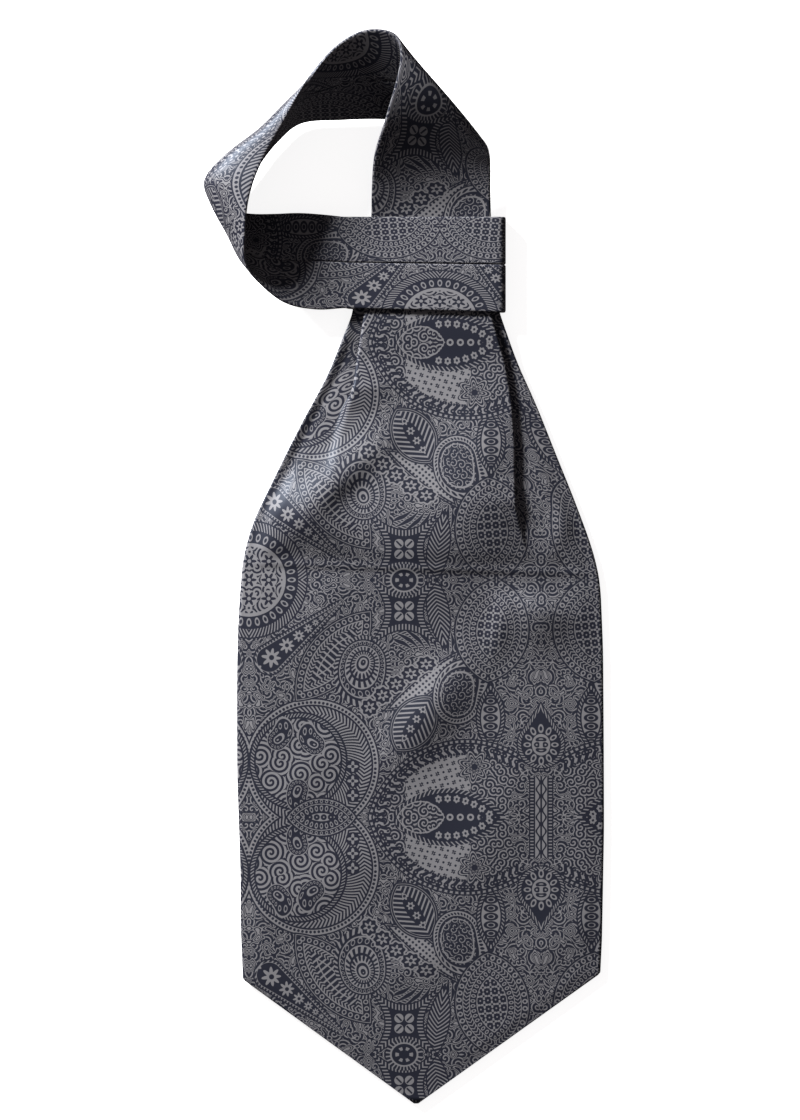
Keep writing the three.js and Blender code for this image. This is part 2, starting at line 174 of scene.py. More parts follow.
# The neck band as cross rows, from the neck round the loop to the keeper's stitching:
# the strip's right edge, its middle and its left edge, with its outer face up at the neck
BAND_ROWS = table(
    "rx ry rz mx my mz lx ly lz",
    (31.5, 358.4, 4.2, 4, 358.4, 4.2, -23.5, 358.4, 4.2),
    (30, 377, 4.2, 4.3, 377, 4.2, -21.4, 377, 4.2),
    (29.6, 391, 5, 4.3, 391, 7.4, -21, 391, 9),
    (29.6, 400, 6.2, 4.6, 405, 12, -19.8, 405, 16.4),
    (29.2, 405.4, 8.6, 6.4, 419, 18.8, -14.6, 421.5, 24),
    (27.2, 409.6, 8.8, 10.9, 428, 21.5, -8.8, 446.5, 29.5),
    (21.6, 413.6, 5.2, 4, 434, 15.6, -11.6, 455, 29.3),
    (8, 417.5, 2.4, -8, 436, 14, -22.5, 457, 28),
    (-12, 421, 1.9, -22.5, 437, 15, -33, 452.5, 27),
    (-34, 421, 1.8, -37.6, 434, 17, -41.6, 444.5, 27),
    (-52, 419.3, 1.7, -54, 427.5, 19.5, -50.2, 432, 27.6),
    (-62, 411, 1.7, -69, 414.5, 20.5, -57.6, 419, 28.4),
    (-71, 399, 1.7, -84, 403, 20.5, -65.6, 405, 29),
    (-78, 389, 1.8, -91.4, 393.5, 19.5, -71.2, 392, 29.4),
    (-79, 383, 2, -89, 384.5, 17.5, -73.6, 382.5, 28.8),
    (-76, 381, 2.6, -83, 373, 14, -74.4, 372, 26.6),
    (-71, 380.4, 3.5, -76.4, 364, 10.2, -74.2, 358.8, 21),
    (-62.5, 380.4, 4.6, -65, 361, 9, -67.8, 349.6, 15.6),
    (-52, 380.7, 5.8, -53, 360.2, 8.2, -57.8, 342, 11.4),
    (-42, 380, 6.9, -42.5, 360, 7.8, -44.6, 339.4, 8.9),
    (-33.2, 379, KEEPER_FRONT_Z, -33.2, 359.7, KEEPER_FRONT_Z, -33.2, 340, KEEPER_FRONT_Z),
)

# The keeper: its two ends, its upper edge, its lower edge at both ends, and where its back
# layer turns up to the stitching
KEEPER = {"left": -32.9, "right": 36.2, "top": 379, "low_left": 340, "low_right": 338.3, "rise": -30.9}


# Where the model's frame is, from the blade's point
blade_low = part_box("blade_front")[0]
TO_FRAME = np.array((blade_low[0] / MM + LEFT_REACH, blade_low[1] / MM, 0))


def wall_mesh(name, grid, up, down, print_up, print_down):
    """A wall of cloth round a grid of points: up and down are its half thicknesses."""
    rows, columns = grid.shape[:2]
    along = np.gradient(grid, axis=0)
    across = np.gradient(grid, axis=1)
    normal = np.cross(across, along)
    normal /= np.linalg.norm(normal, axis=2)[:, :, None] + 1e-12
    top = grid + normal * up[..., None]
    low = grid - normal * down[..., None]
    points = (np.concatenate([top.reshape(-1, 3), low.reshape(-1, 3)]) + TO_FRAME) * MM
    first = np.arange(rows * columns).reshape(rows, columns)
    quads = np.stack([first[:-1, :-1], first[:-1, 1:], first[1:, 1:], first[1:, :-1]], axis=-1)
    quads = quads.reshape(-1, 4)
    under = quads[:, ::-1] + rows * columns
    rim = np.concatenate([first[0, :], first[1:, -1], first[-1, -2::-1], first[-2:0:-1, 0]])
    rim_next = np.roll(rim, -1)
    edge = np.stack([rim_next, rim, rim + rows * columns, rim_next + rows * columns], axis=-1)
    faces = np.concatenate([quads, under, edge])
    mesh = bpy.data.meshes.new(name)
    mesh.from_pydata(points.tolist(), [], faces.tolist())
    mesh.shade_smooth()
    attribute = mesh.attributes.new("print_mm", "FLOAT_VECTOR", "POINT")
    both = np.concatenate([print_up.reshape(-1, 3), print_down.reshape(-1, 3)]).astype(np.float32)
    attribute.data.foreach_set("vector", both.ravel())
    piece = bpy.data.objects.new(name, mesh)
    bpy.context.scene.collection.objects.link(piece)
    return piece


# Blade

SIDE_STEPS = 22
FOLD_STEPS = 10
TUCK_STEPS = 5
CENTRE_STEPS = 64
BACK_COLUMNS = 61

# Heights, each with the step between the rows above it: closer where the cloth folds
FRONT_ROWS = ((0, 3), (50, 1.2), (60, 2.4), (215, 0.9), (236, 0.8), (270, 1.6), (NECK_END, 3))
BACK_ROWS = ((1.2, 3), (50, 1.2), (60, 5), (205, 3), (NECK_END, 3))


def along_arc(start, heading, length, turn, share):
    """Points on an arc of a given length and turn that leaves start at a heading."""
    half = turn * share / 2
    chord = length * share * np.sinc(half / math.pi)
    way = heading + half
    return start[0] + chord * np.cos(way), start[1] + chord * np.sin(way)


def pleated_half(side, pleat, y, inward):
    """x and z from the side edge in to the pleat, under, and back out to the fold that shows."""
    turn = math.radians(at(pleat, y, "turn"))
    bend = at(pleat, y, "bend")
    tuck = at(pleat, y, "tuck")
    shares = np.arange(1, FOLD_STEPS + 1) / FOLD_STEPS
    xs, zs = [np.zeros(1)], [np.zeros(1)]
    low_x, low_z = along_arc((0, 0), 0, bend, turn, shares)
    xs.append(low_x)
    zs.append(low_z)
    tuck_shares = np.arange(1, TUCK_STEPS + 1) / TUCK_STEPS
    tuck_x, tuck_z = along_arc((low_x[-1], low_z[-1]), turn, tuck, 0, tuck_shares)
    xs.append(tuck_x)
    zs.append(tuck_z)
    top_start = (tuck_x[-1], tuck_z[-1])
    top_x, top_z = along_arc(top_start, turn, bend, -turn, shares)
    xs.append(top_x)
    zs.append(top_z)
    showing = along_arc(top_start, turn, bend, -turn, 0.5)[0]
    x = inward * (np.concatenate(xs) + at(pleat, y, "edge") * inward - showing)
    z = np.concatenate(zs)
    panel = mix(side, x[0], np.arange(SIDE_STEPS) / SIDE_STEPS)
    return np.concatenate([panel, x]), np.concatenate([np.zeros(SIDE_STEPS), z])


def soft_side(side, y):
    """The outline's x, with the small corners between its rows rounded off."""
    offsets = np.linspace(-CORNER["reach"], CORNER["reach"], CORNER["samples"])
    offsets *= ease(y, *CORNER["from"]) * (1 - ease(y, *CORNER["to"]))
    return np.mean([at(side, y + offset, "x") for offset in offsets])


def relief(x, y):
    """The height of the soft folds and of the pressed line at points of the front panel."""
    from_left = x - at(LEFT_SIDE, y, "x")
    inside = np.minimum(from_left, at(RIGHT_SIDE, y, "x") - x)
    shown = ease(inside, *SIDE_FADE) * ease(y, *POINT_FADE) * (1 - ease(y, *KEEPER_FADE))
    rise = np.zeros_like(x)
    for k in range(len(RIDGES["x"])):
        ridge = {name: column[k] for name, column in RIDGES.items()}
        angle = math.radians(ridge["angle"])
        dx, dy = x - ridge["x"], y - ridge["y"]
        along = (dx * math.cos(angle) + dy * math.sin(angle)) / ridge["length"]
        across = dy * math.cos(angle) - dx * math.sin(angle)
        across = across / np.where(across > 0, ridge["above"], ridge["below"])
        rise += ridge["rise"] * np.exp(-2 * along ** 2 - across ** 2)
    lift = EDGE_LIFT["rise"] * (1 - ease(from_left, 0, EDGE_LIFT["width"]))
    lift = lift * ease(y, *EDGE_LIFT["from"]) * (1 - ease(y, *EDGE_LIFT["to"]))
    from_crease = y - CREASE["y"] + x * CREASE["slope"]
    pressed = CREASE["depth"] * np.minimum(1, np.abs(from_crease) / CREASE["half"])
    welt = WELT["rise"] * np.exp(-((from_crease - WELT["above"]) / WELT["half"]) ** 2)
    return shown * (rise + pressed + welt) + lift


def front_row(y):
    """Points across the front panel at height y, from its left edge to its right edge."""
    base = mix(FRONT_Z, NECK_FRONT_Z, ease(y, *RAMP))
    left_x, left_z = pleated_half(soft_side(LEFT_SIDE, y), LEFT_PLEAT, y, 1)
    right_x, right_z = pleated_half(soft_side(RIGHT_SIDE, y), RIGHT_PLEAT, y, -1)
    share = np.arange(1, CENTRE_STEPS) / CENTRE_STEPS
    centre_x = mix(left_x[-1], right_x[-1], share)
    level = 2 * PLEAT_STEP * ease(y, *STACK_RAMP)
    near_left = 1 - ease(centre_x - left_x[-1], 0, NEAR_FOLD)
    near_right = 1 - ease(right_x[-1] - centre_x, 0, NEAR_FOLD)
    centre_z = level + (left_z[-1] - level) * near_left + (right_z[-1] - level) * near_right
    x = np.concatenate([left_x, centre_x, right_x[::-1]])
    z = np.concatenate([left_z, centre_z, right_z[::-1]])
    ys = np.full_like(x, y)
    return np.stack([x, ys, base + z + relief(x, ys)], axis=-1)


def rows_between(*stops):
    """Heights from stop to stop, each stop (y, step) giving the step that follows it."""
    heights = []
    for (y, step), (end, _) in zip(stops, stops[1:]):
        count = max(1, round((end - y) / step))
        heights += [mix(y, end, k / count) for k in range(count)]
    return heights + [stops[-1][0]]


def cloth_print(grid):
    """Print coordinates of a pleated panel: the length of cloth from its middle, and y."""
    steps = np.linalg.norm(np.diff(grid[:, :, [0, 2]], axis=1), axis=2)
    length = np.concatenate([np.zeros((len(grid), 1)), np.cumsum(steps, axis=1)], axis=1)
    middle = grid.shape[1] // 2
    u = length - length[:, middle:middle + 1] + grid[:, middle:middle + 1, 0]
    return np.stack([u, grid[:, :, 1], np.zeros_like(u)], axis=-1)


def make_blade_front():
    grid = np.array([front_row(y) for y in rows_between(*FRONT_ROWS)])
    half = np.full(grid.shape[:2], PANEL / 2)
    printed = cloth_print(grid)
    return wall_mesh("blade_front_silk", grid, half, half, printed, printed)


def make_blade_back():
    columns = np.linspace(0, 1, BACK_COLUMNS)
    grid = []
    for y in rows_between(*BACK_ROWS):
        z = mix(BACK_Z, NECK_BACK_Z, ease(y, *RAMP))
        x = mix(soft_side(LEFT_SIDE, y) + BACK_INSET, soft_side(RIGHT_SIDE, y) - BACK_INSET, columns)
        grid.append(np.stack([x, np.full_like(x, y), np.full_like(x, z)], axis=-1))
    grid = np.array(grid)
    half = np.full(grid.shape[:2], PANEL / 2)
    u, v = BACK_PRINT[0] - grid[:, :, 0], BACK_PRINT[1] + grid[:, :, 1]
    printed = np.stack([u, v, np.zeros_like(u)], axis=-1)
    return wall_mesh("blade_back_silk", grid, half, half, printed, printed)


# Neck band

BAND_WIDTH = 50
ROW_STEPS = 12
KEEPER_STEPS = 44

# The keeper's end fold: how square it is, and its steps
END_SHARPNESS = 0.6
END_STEPS = 26

# The keeper's back layer: its steps, and the bend that turns it up to the stitching
KEEPER_BACK_STEPS = 40
RISE = {"radius": 2.2, "degrees": 80, "steps": 9, "lean": 0.7, "shares": (0.33, 0.66, 1)}

# The strip's wall: how much of it is left at its rounded edges, and the groove of its seam.
# Widths are shares of the strip's width.
EDGE_WALL = 0.42
EDGE_ROUND = 0.025
SEAM_DEPTH = 0.5
SEAM_HALF = 0.008

# Where the two halves of the seam side lie in the print, and the keeper's medallion
LOWER_PRINT_X = -70
UPPER_PRINT_X = -13
MEDALLION_X = 8


def spline(points, row):
    """A point on the smooth curve through points, a row apart, as a centripetal spline."""
    last = len(points) - 1
    k = min(int(row), last - 1)
    t = row - k
    b, c = points[k], points[k + 1]
    a = points[k - 1] if k > 0 else 2 * b - c
    d = points[k + 2] if k + 2 <= last else 2 * c - b
    ab, bc, cd = (max(np.linalg.norm(q - p), 1e-4) ** 0.5 for p, q in ((a, b), (b, c), (c, d)))
    start = ((b - a) / ab - (c - a) / (ab + bc) + (c - b) / bc) * bc
    end = ((c - b) / bc - (d - b) / (bc + cd) + (d - c) / cd) * bc
    return (
        b * (2 * t ** 3 - 3 * t ** 2 + 1) + start * (t ** 3 - 2 * t ** 2 + t)
        + c * (3 * t ** 2 - 2 * t ** 3) + end * (t ** 3 - t ** 2)
    )


def band_lines(row):
    """The strip's right edge, middle and left edge at a row of the loop."""
    return [
        spline(np.stack([BAND_ROWS[side + axis] for axis in "xyz"], axis=-1), row)
        for side in "rml"
    ]


def across_band(row, shares):
    """Points across the strip, from its left edge to its right: a parabola through three."""
    right, middle, left = band_lines(row)
    s = (1 - shares)[:, None]
    return right * (1 - s) * (1 - 2 * s) + middle * 4 * s * (1 - s) + left * s * (2 * s - 1)


def keeper_path():
    """x and z along the keeper: over the neck, round the end fold, back under and up."""
    radius = (KEEPER_FRONT_Z - KEEPER_BACK_Z) / 2
    centre_x = KEEPER["right"] - radius - BAND / 2
    centre_z = (KEEPER_FRONT_Z + KEEPER_BACK_Z) / 2
    start_x = KEEPER["left"] + 2 * GAP
    path = [(x, KEEPER_FRONT_Z) for x in np.linspace(start_x, centre_x, KEEPER_STEPS)]
    for angle in np.radians(np.linspace(90, -90, END_STEPS)[1:]):
        out = math.cos(angle) ** END_SHARPNESS
        up = math.copysign(abs(math.sin(angle)) ** END_SHARPNESS, math.sin(angle))
        path.append((centre_x + radius * out, centre_z + radius * up))
    corner = RISE["radius"]
    bend_x = KEEPER["rise"] + corner
    path += [(x, KEEPER_BACK_Z) for x in np.linspace(centre_x, bend_x, KEEPER_BACK_STEPS)[1:]]
    for angle in np.radians(np.linspace(0, RISE["degrees"], RISE["steps"])[1:]):
        path.append((bend_x - corner * math.sin(angle), KEEPER_BACK_Z + corner * (1 - math.cos(angle))))
    low_x, low_z = path[-1]
    high_x = KEEPER["rise"] - RISE["lean"]
    high_z = KEEPER_FRONT_Z - BAND / 2 - GAP
    return path + [(mix(low_x, high_x, share), mix(low_z, high_z, share)) for share in RISE["shares"]]


def band_halves(rows, shares):
    """Half thicknesses of the flattened strip: rounded at its edges, grooved at its seam."""
    to_round = 1 - np.clip(np.minimum(shares, 1 - shares) / EDGE_ROUND, 0, 1)
    full = BAND / 2 * mix(EDGE_WALL, 1, np.sqrt(1 - to_round ** 2))
    seam = SEAM_DEPTH * np.exp(-((shares - 0.5) / SEAM_HALF) ** 2)
    return np.tile(full, (rows, 1)), np.tile(full - seam, (rows, 1))


def band_shares():
    """Columns across the strip, closer together at its edges and its seam."""
    edge = np.array([0, 0.004, 0.01, 0.018, 0.027])
    face = np.linspace(0.045, 0.47, 14)
    seam = np.array([0.484, 0.491, 0.496, 0.5])
    half = np.concatenate([edge, face, seam])
    return np.concatenate([half, 1 - half[-2::-1]])


def make_neck_band():
    shares = band_shares()
    last = len(BAND_ROWS["rx"]) - 1
    loop = [across_band(row, shares) for row in np.linspace(0, last, last * ROW_STEPS + 1)]
    keeper = []
    for x, z in keeper_path():
        ends = (KEEPER["left"], KEEPER["right"])
        low = np.interp(x, ends, (KEEPER["low_left"], KEEPER["low_right"]))
        y = mix(low, KEEPER["top"], shares)
        keeper.append(np.stack([np.full_like(y, x), y, np.full_like(y, z)], axis=-1))
    grid = np.array(loop + keeper)
    middle = grid[:, len(shares) // 2]
    run = np.concatenate([[0], np.cumsum(np.linalg.norm(np.diff(middle, axis=0), axis=1))])
    flat = grid[len(loop):len(loop) + KEEPER_STEPS]
    medallion_run = np.interp(MEDALLION_X, flat[:, 0, 0], run[len(loop):len(loop) + KEEPER_STEPS])
    along = np.tile(run[:, None], (1, len(shares)))
    none = np.zeros_like(along)
    outer = np.tile((shares - 0.5) * BAND_WIDTH, (len(grid), 1))
    seam_side = shares * BAND_WIDTH + np.where(shares < 0.5, LOWER_PRINT_X, UPPER_PRINT_X)
    inner = np.tile(seam_side, (len(grid), 1))
    print_up = np.stack([outer, along + NECK_END, none], axis=-1)
    print_down = np.stack([inner, along - medallion_run + MIRROR_Y + HALF_HIGH, none], axis=-1)
    up, down = band_halves(len(grid), shares)
    return wall_mesh("neck_band_silk", grid, up, down, print_up, print_down)


blade_front = make_blade_front()
blade_back = make_blade_back()
neck_band = make_neck_band()

# The printed silk's nodes, as numbers that can be added and multiplied

silk = bpy.data.materials.new("printed_silk")
silk.use_nodes = True
silk_nodes = silk.node_tree.nodes
silk_links = silk.node_tree.links


class Number:
    """A number that changes over the cloth, from the socket that it comes out of."""

    def __init__(self, socket):
        self.socket = socket

    def __add__(self, other):
        return calc("ADD", self, other)

    def __radd__(self, other):
        return calc("ADD", other, self)

    def __sub__(self, other):
        return calc("SUBTRACT", self, other)

    def __rsub__(self, other):
        return calc("SUBTRACT", other, self)

    def __mul__(self, other):
        return calc("MULTIPLY", self, other)

    def __rmul__(self, other):
        return calc("MULTIPLY", other, self)

    def __truediv__(self, other):
        return calc("DIVIDE", self, other)


def feed(socket, value):
    """Sets a socket to a plain number, or links it to a number that changes."""
    if isinstance(value, Number):
        silk_links.new(value.socket, socket)
    else:
        socket.default_value = value


def calc(operation, *values, clamp=False):
    """A sum or another operation on numbers that may change over the cloth."""
    node = silk_nodes.new("ShaderNodeMath")
    node.operation = operation
    node.use_clamp = clamp
    for socket, value in zip(node.inputs, values):
        feed(socket, value)
    return Number(node.outputs[0])


def texture(kind, u, v, size):
    """A flat texture node at u, v, with a size in millimetres."""
    spot = silk_nodes.new("ShaderNodeCombineXYZ")
    feed(spot.inputs["X"], u)
    feed(spot.inputs["Y"], v)
    node = silk_nodes.new(kind)
    silk_links.new(spot.outputs["Vector"], node.inputs["Vector"])
    node.inputs["Scale"].default_value = 1 / size
    return node


def noise(u, v, size):
    node = texture("ShaderNodeTexNoise", u, v, size)
    node.noise_dimensions = "2D"
    node.inputs["Detail"].default_value = 0
    return Number(node.outputs[0])


def cells(u, v, size):
    """x and y from the middle of the nearest of some cells strewn over the cloth."""
    node = texture("ShaderNodeTexVoronoi", u, v, size)
    node.voronoi_dimensions = "2D"
    split = silk_nodes.new("ShaderNodeSeparateXYZ")
    silk_links.new(node.outputs["Position"], split.inputs["Vector"])
    return u - Number(split.outputs["X"]), v - Number(split.outputs["Y"])


# Print: two tones of ink worked out from where the cloth is, in millimetres. The repeat is
# mirrored both ways, so a motif is drawn once in a corner of HALF_WIDE by HALF_HIGH.

EDGE = 0.16  # half of the blur at a motif's edge
FINE = 0.25  # half width of a fine drawn line
LINE = 0.3  # half width of a drawn line
BOLD = 2.6  # how much ink spreads at the edge of a stroke
BARE = -0.1  # how much of the faintest ink is lost
FULL_TURN = 2 * math.pi


def sharp(inside):
    """1 where a distance in mm is above 0 and 0 where it is below, with a soft edge."""
    return calc("MULTIPLY_ADD", inside, 0.5 / EDGE, 0.5, clamp=True)


def below(value, limit):
    """1 where a value is below a limit."""
    return calc("MULTIPLY_ADD", value, -0.5 / EDGE, 0.5 + limit * 0.5 / EDGE, clamp=True)


def near(value, middle, half):
    """1 where a value is no further from a middle one than half."""
    return below(size_of(value - middle), half)


def over(ink, mask, fill):
    """Ink with a fill laid over it where the mask is 1."""
    return calc("MULTIPLY_ADD", mask, fill - ink, ink)


def more(ink, mask):
    return calc("MAXIMUM", ink, mask)


def less(ink, mask):
    return calc("MULTIPLY_ADD", ink * mask, -1, ink)


def size_of(value):
    return calc("ABSOLUTE", value)


def hypot(x, y):
    return calc("SQRT", calc("MULTIPLY_ADD", x, x, y * y))


def angle_of(x, y):
    return calc("ARCTAN2", y, x)


def placed(u, v, spot, degrees=0):
    """Coordinates from a spot, x along a direction in degrees and y to its left."""
    if degrees == 0:
        return u - spot[0], v - spot[1]
    c, s = math.cos(math.radians(degrees)), math.sin(math.radians(degrees))
    x = calc("MULTIPLY_ADD", u, c, calc("MULTIPLY_ADD", v, s, -spot[0] * c - spot[1] * s))
    y = calc("MULTIPLY_ADD", u, -s, calc("MULTIPLY_ADD", v, c, spot[0] * s - spot[1] * c))
    return x, y


def every(s, pitch):
    """How far a length is from the nearest multiple of a pitch."""
    return calc("PINGPONG", s, pitch / 2)


# Shapes: each gives the depth in from its edge and the length round it

def disc(x, y, radius):
    return radius - hypot(x, y), angle_of(x, y) * radius


def leaf(x, y, half_length, half_width):
    """A pointed oval along x."""
    radius = (half_length ** 2 + half_width ** 2) / (2 * half_width)
    out = size_of(y) + (radius - half_width)
    return radius - hypot(x, out), calc("ARCTAN2", x, out) * radius


def drop(x, y, radius, tail, curl=0, sharpness=7):
    """A paisley drop with a tail of a share of its radius along x, curled by radians a mm."""
    r = hypot(x, y)
    angle = calc("MULTIPLY_ADD", r, curl, angle_of(x, y))
    bump = calc("POWER", calc("MULTIPLY_ADD", calc("COSINE", angle), 0.5, 0.5), sharpness)
    return radius - r / calc("MULTIPLY_ADD", bump, tail, 1), angle * radius


def flower(x, y, petals, radius, waist=0.3):
    """The depth in from a flower's outline, and the distance from its middle."""
    r = hypot(x, y)
    lobes = calc("COSINE", angle_of(x, y) * petals)
    return calc("MULTIPLY_ADD", lobes, radius * waist, radius * (1 - waist)) - r, r


# Ornaments along a border, from the depth in it and the length along it

def beads(depth, s, middle, pitch, radius, hole=0.4):
    """Light beads with dark middles on a dark ground."""
    q = hypot(depth - middle, every(s, pitch))
    return 1 - below(q, radius) * sharp(q - radius * hole)


def dots(depth, s, middle, pitch, radius):
    """Small dark dots on a light ground."""
    return below(hypot(depth - middle, every(s, pitch)), radius)


def hatch(depth, s, slope, pitch, share=0.5):
    """Dark strokes that lean across a border."""
    return below(every(calc("MULTIPLY_ADD", depth, slope, s), pitch), pitch * share / 2)


def chevrons(depth, s, middle, slope, pitch, share=0.5):
    return hatch(size_of(depth - middle), s, slope, pitch, share)


def petals(depth, s, middle, pitch, half_width, half_length):
    """Light petals with a dark slit on a dark ground."""
    q = hypot(every(s, pitch) * (1 / half_width), (depth - middle) * (1 / half_length))
    return 1 - below(q, 1) * sharp(q - 0.42)


def blooms(x, y, count, radius, heart, waist=0.3):
    """1 on the petals of a flower with an open heart."""
    outline, r = flower(x, y, count, radius, waist)
    return sharp(outline) * sharp(r - heart)


def curls(u, v, size, pitch, share):
    """Small spiral curls packed side by side, dark on light."""
    x, y = cells(u, v, size)
    turn = angle_of(x, y) * (pitch / FULL_TURN)
    return below(every(hypot(x, y) - turn, pitch), pitch * share / 2)


def ruled(fill, depth, ink, half, *middles):
    """A fill with lines along it at some depths, dark where ink is 1 and light where it is 0."""
    for middle in middles:
        line = near(depth, middle, half)
        fill = more(fill, line) if ink else less(fill, line)
    return fill


# Motifs, from the back to the front: each lays its own fill over the ink so far

def fine_ground(ink, u, v):
    """Curled fine lines between all the motifs, with patches of small spirals."""
    vein = noise(u, v, 3.6)
    fill = below(every(vein, 0.13) * 22, 0.66)
    return over(fill, sharp((vein - 0.52) * 14), curls(u, v, 5.29, 1.62, 0.55))


def crescent(ink, u, v):
    """A broad crescent: a dotted and a hatched border round an off-centre bed of curls."""
    depth, s = disc(*placed(u, v, (98, 22)), 29)
    fill = chevrons(depth, s, 6.5, 0.9, 2.12, 0.45)
    fill = over(fill, below(depth, 3.1), dots(depth, s, 1.9, 1.87, 0.55))
    fill = ruled(fill, depth, 1, LINE, 0.25, 3.2)
    inner, t = disc(*placed(u, v, (104, 24)), 21)
    fill = over(fill, sharp(inner), curls(u, v, 8.51, 2.1, 0.42))
    fill = over(fill, near(inner, 1.5, 0.9), hatch(inner, t, 0.8, 1.5))
    fill = ruled(fill, inner, 1, LINE, 0.2, 2.5)
    return over(ink, sharp(depth), fill)


def curled_drops(ink, u, v):
    """Three small curled paisleys inside the crescent."""
    for spot, turn, curl in (((113, 33), 150, 0.07), ((97, 31), 20, -0.08), ((104, 12), -60, 0.06)):
        depth, s = drop(*placed(u, v, spot, turn), 4.6, 1.3, curl)
        fill = over(beads(depth, s, 1.5, 2, 0.7), sharp(depth - 2.6), below(every(depth, 1.3), 0.3))
        fill = ruled(fill, depth, 0, LINE, 0.2)
        ink = over(ink, sharp(depth), fill)
    return ink


def medallion(ink, u, v):
    """A round medallion at the corner, with a ring of petals and flowers inside."""
    x, y = placed(u, v, (125, 101.5))
    depth, s = disc(x, y, 25.2)
    fill = hatch(depth, s, 0.7, 1.56)
    fill = over(fill, sharp(depth - 4.2), 1)
    fill = over(fill, near(depth, 7.0, 2.1), petals(depth, s, 7.0, 4.95, 1.6, 2))
    fill = over(fill, sharp(depth - 9.4), 0)
    bed = less(curls(u, v, 5.98, 1.8, 0.4), below(hypot(every(x, 8.4), every(y, 8)), 3.6))
    fill = over(fill, sharp(depth - 11), more(bed, blooms(every(x, 8.4), every(y, 8), 6, 3.1, 0.9)))
    fill = ruled(fill, depth, 1, LINE, 0.2)
    return over(ink, sharp(depth), fill)


def nested_leaf(ink, u, v):
    """A long leaf with leaves nested inside it."""
    x, y = placed(u, v, (89, 69), -50)
    depth, s = leaf(x, y, 25.5, 11)
    fill = beads(depth, s, 2.2, 3.1, 1.2, 0.45)
    fill = over(fill, sharp(depth - 4.0), chevrons(depth, s, 5.6, 1.0, 1.88))
    fill = over(fill, sharp(depth - 6.6), hatch(y, x, 0, 2.38, 0.6))
    fill = ruled(fill, depth, 0, LINE, 0.5, 4.0, 8.6)
    ink = over(ink, sharp(depth), fill)
    return ruled(ink, depth, 1, FINE, 0.1)


def daisy_drop(ink, u, v):
    """A dark drop with light daisies that grow towards its round end."""
    x, y = placed(u, v, (85.5, 92), -38.5)
    reach = hypot(x, y)
    aside = angle_of(x, y)
    wedge = calc("MINIMUM", (0.135 - size_of(aside)) * reach, 39 - reach)
    depth = calc("MAXIMUM", wedge, 5.3 - hypot(x - 39.3, y))
    cell = every(calc("LOGARITHM", reach, math.e) + 0.11, 0.25)
    outline, r = flower(cell * 10, aside * 10, 8, 1.13, 0.24)
    fill = 1 - sharp(outline * 3) * sharp((r - 0.27) * 4)
    ink = over(ink, sharp(depth + 1.3), dots(depth, reach, -0.7, 1.43, 0.39))
    ink = over(ink, sharp(depth), fill)
    return ruled(ink, depth, 1, FINE, -1.35)


def spiral_drop(ink, u, v):
    """A round paisley of nested borders with a fringe."""
    depth, s = drop(*placed(u, v, (76, 66.5), -68), 9.6, 0.75, 0.02, 4)
    fill = beads(depth, s, 1.7, 2.2, 0.8, 0.5)
    fill = over(fill, sharp(depth - 3.0), hatch(depth, s, 0, 2.38, 0.45))
    fill = over(fill, sharp(depth - 5.0), dots(depth, s, 5.9, 2.64, 0.77))
    fill = over(fill, sharp(depth - 7.0), below(every(depth, 1.5), 0.3))
    fill = ruled(fill, depth, 0, FINE, 0.75, 3.0)
    fill = ruled(fill, depth, 1, FINE, 5.0)
    ink = over(ink, sharp(depth + 1.7), hatch(depth, s, 0, 1.38, 0.45))
    return over(ink, sharp(depth), fill)


def dotted_plume(ink, u, v):
    """A light dotted feather beside the garland."""
    x, y = placed(u, v, (50.5, 57), 141.5)
    depth, _ = leaf(x, calc("MULTIPLY_ADD", x * x, 0.006, y) - 1, 20.5, 4.6)
    fill = dots(every(y, 1.9), x, 0, 1.87, 0.46)
    fill = ruled(fill, depth, 1, FINE, 0.9)
    ink = over(ink, sharp(depth), fill)
    return ruled(ink, depth, 1, FINE, 0)


def frond(ink, u, v):
    """A broad frond of light strokes with a dark flowered spine."""
    x, y = placed(u, v, (54.5, 40), -57)
    depth, _ = leaf(x, y, 14, 9.5)
    fill = hatch(size_of(y), x, -0.75, 2.38, 0.55)
    fill = over(fill, below(depth, 1.6), 0)
    fill = ruled(fill, depth, 1, FINE, 1.0)
    spine, _ = leaf(x, y, 9.5, 2.9)
    fill = over(fill, sharp(spine), 1 - blooms(every(x + 2.4, 4.9), y, 6, 1.9, 0.55, 0.2))
    ink = over(ink, sharp(depth), fill)
    return ruled(ink, depth, 1, FINE, 0.1)


def curled_swirl(ink, u, v):
    """A dark swirl of tiny curls."""
    depth, s = drop(*placed(u, v, (36, 50), 70), 10.5, 0.9, -0.05, 5)
    fill = dots(depth, s, 1.7, 1.65, 0.5)
    fill = over(fill, sharp(depth - 3.0), curls(u, v, 2.99, 1.56, 0.66))
    fill = ruled(fill, depth, 1, LINE, 0.2, 3.0)
    fill = ruled(fill, depth, 0, LINE, 4.0)
    return over(ink, sharp(depth), fill)


def eyed_leaf(ink, u, v):
    """An upright leaf with eyes down its middle."""
    x, y = placed(u, v, (21.5, 42.5), 90)
    depth, s = leaf(x, y, 14.5, 6.4)
    fill = hatch(depth, s, 0.9, 1.69)
    eye = hypot(every(x, 3.6), y * 0.55)
    fill = over(fill, sharp(depth - 2.0), near(eye, 1.35, LINE))
    fill = more(fill, below(eye, 0.6))
    fill = ruled(fill, depth, 1, FINE, 0.2, 2.0)
    return over(ink, sharp(depth), fill)


